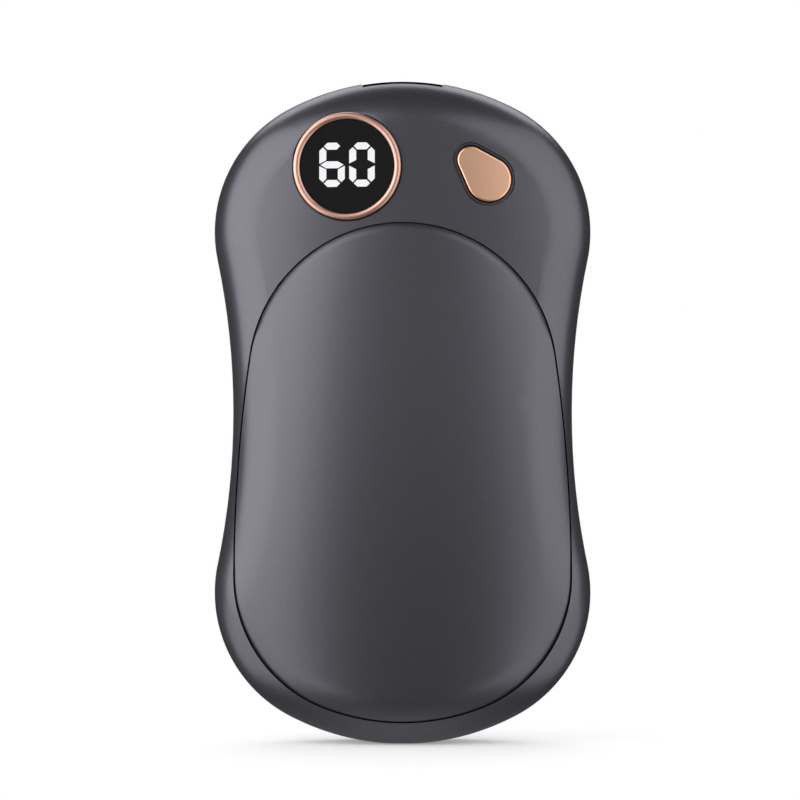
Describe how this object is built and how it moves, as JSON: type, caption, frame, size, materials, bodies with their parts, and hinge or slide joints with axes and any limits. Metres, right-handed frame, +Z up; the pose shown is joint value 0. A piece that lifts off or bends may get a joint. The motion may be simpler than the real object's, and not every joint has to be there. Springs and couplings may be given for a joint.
{
  "type": "rechargeable hand warmer",
  "caption": "Waisted, pebble-shaped pocket hand warmer with crowned heat plates front and back, a round temperature display, a teardrop push button and a charging inlet.",
  "frame": {"origin": "middle of the casing's bounding box, on the plane where the two shells meet", "axes": "+Z up along the casing's length towards the charging inlet, +X to the right as seen from the front, -Y out of the front face with the display"},
  "size_m": [0.0624, 0.0292, 0.1098],
  "materials": {
    "graphite_casing": "satin graphite coating",
    "graphite_plate": "satin graphite coating on aluminium",
    "rose_gold_ring": "satin rose-gold plating",
    "rose_gold_button": "satin rose-gold plating on plastic",
    "smoked_window": "gloss smoked black",
    "lit_bars": "white, lit from behind",
    "unlit_bars": "gloss smoked black",
    "black_plastic": "matt black",
    "board_laminate": "green solder mask",
    "steel": "plain steel",
    "ferrite": "dark grey ferrite",
    "capacitor_ceramic": "tan ceramic",
    "ivory_plastic": "ivory nylon",
    "cell_foil": "silver pouch foil",
    "bonding_tape": "black bonding tape",
    "heater_film": "amber film over foil",
    "frame_plastic": "grey moulded plastic",
    "foam": "grey foam",
    "red_lead": "red insulation",
    "black_lead": "black insulation",
    "white_lead": "white insulation",
    "sensor_resin": "black resin",
    "fuse_body": "white sleeve"
  },
  "bodies": {
    "casing": {"battery_cell_front": "cell_foil", "battery_cell_rear": "cell_foil", "battery_connector": "ivory_plastic", "battery_cradle": "frame_plastic", "battery_lead_negative": "black_lead", "battery_lead_positive": "red_lead", "board_capacitors": "capacitor_ceramic", "board_screws": "steel", "cell_tabs": "steel", "cell_tape": "bonding_tape", "control_board": "board_laminate", "control_chip": "black_plastic", "display_block": "black_plastic", "display_ring": "rose_gold_ring", "display_segments_lit": "lit_bars", "display_segments_unlit": "unlit_bars", "display_window": "smoked_window", "front_heat_plate": "graphite_plate", "front_heater_connector": "ivory_plastic", "front_heater_film": "heater_film", "front_heater_leads": "white_lead", "front_insulation_pad": "foam", "front_plate_tape": "bonding_tape", "front_shell": "graphite_casing", "port_panel": "black_plastic", "power_inductor": "ferrite", "protection_board": "board_laminate", "rear_heat_plate": "graphite_plate", "rear_heater_connector": "ivory_plastic", "rear_heater_film": "heater_film", "rear_heater_leads": "white_lead", "rear_insulation_pad": "foam", "rear_plate_tape": "bonding_tape", "rear_shell": "graphite_casing", "shell_screws": "steel", "switch_base": "black_plastic", "switch_cover": "steel", "thermal_fuse": "fuse_body", "thermistor": "sensor_resin", "thermistor_leads": "white_lead", "usb_insulator": "black_plastic", "usb_shell": "steel"},
    "button": {"power_button": "rose_gold_button", "switch_plunger": "black_plastic"}
  },
  "joints": [
    {"name": "button_press", "type": "slide", "parent": "casing", "child": "button", "axis": [0, 1, 0], "range_m": [0, 0.0005], "stiffness_N_per_m": 600, "springref_m": -0.0005}
  ]
}
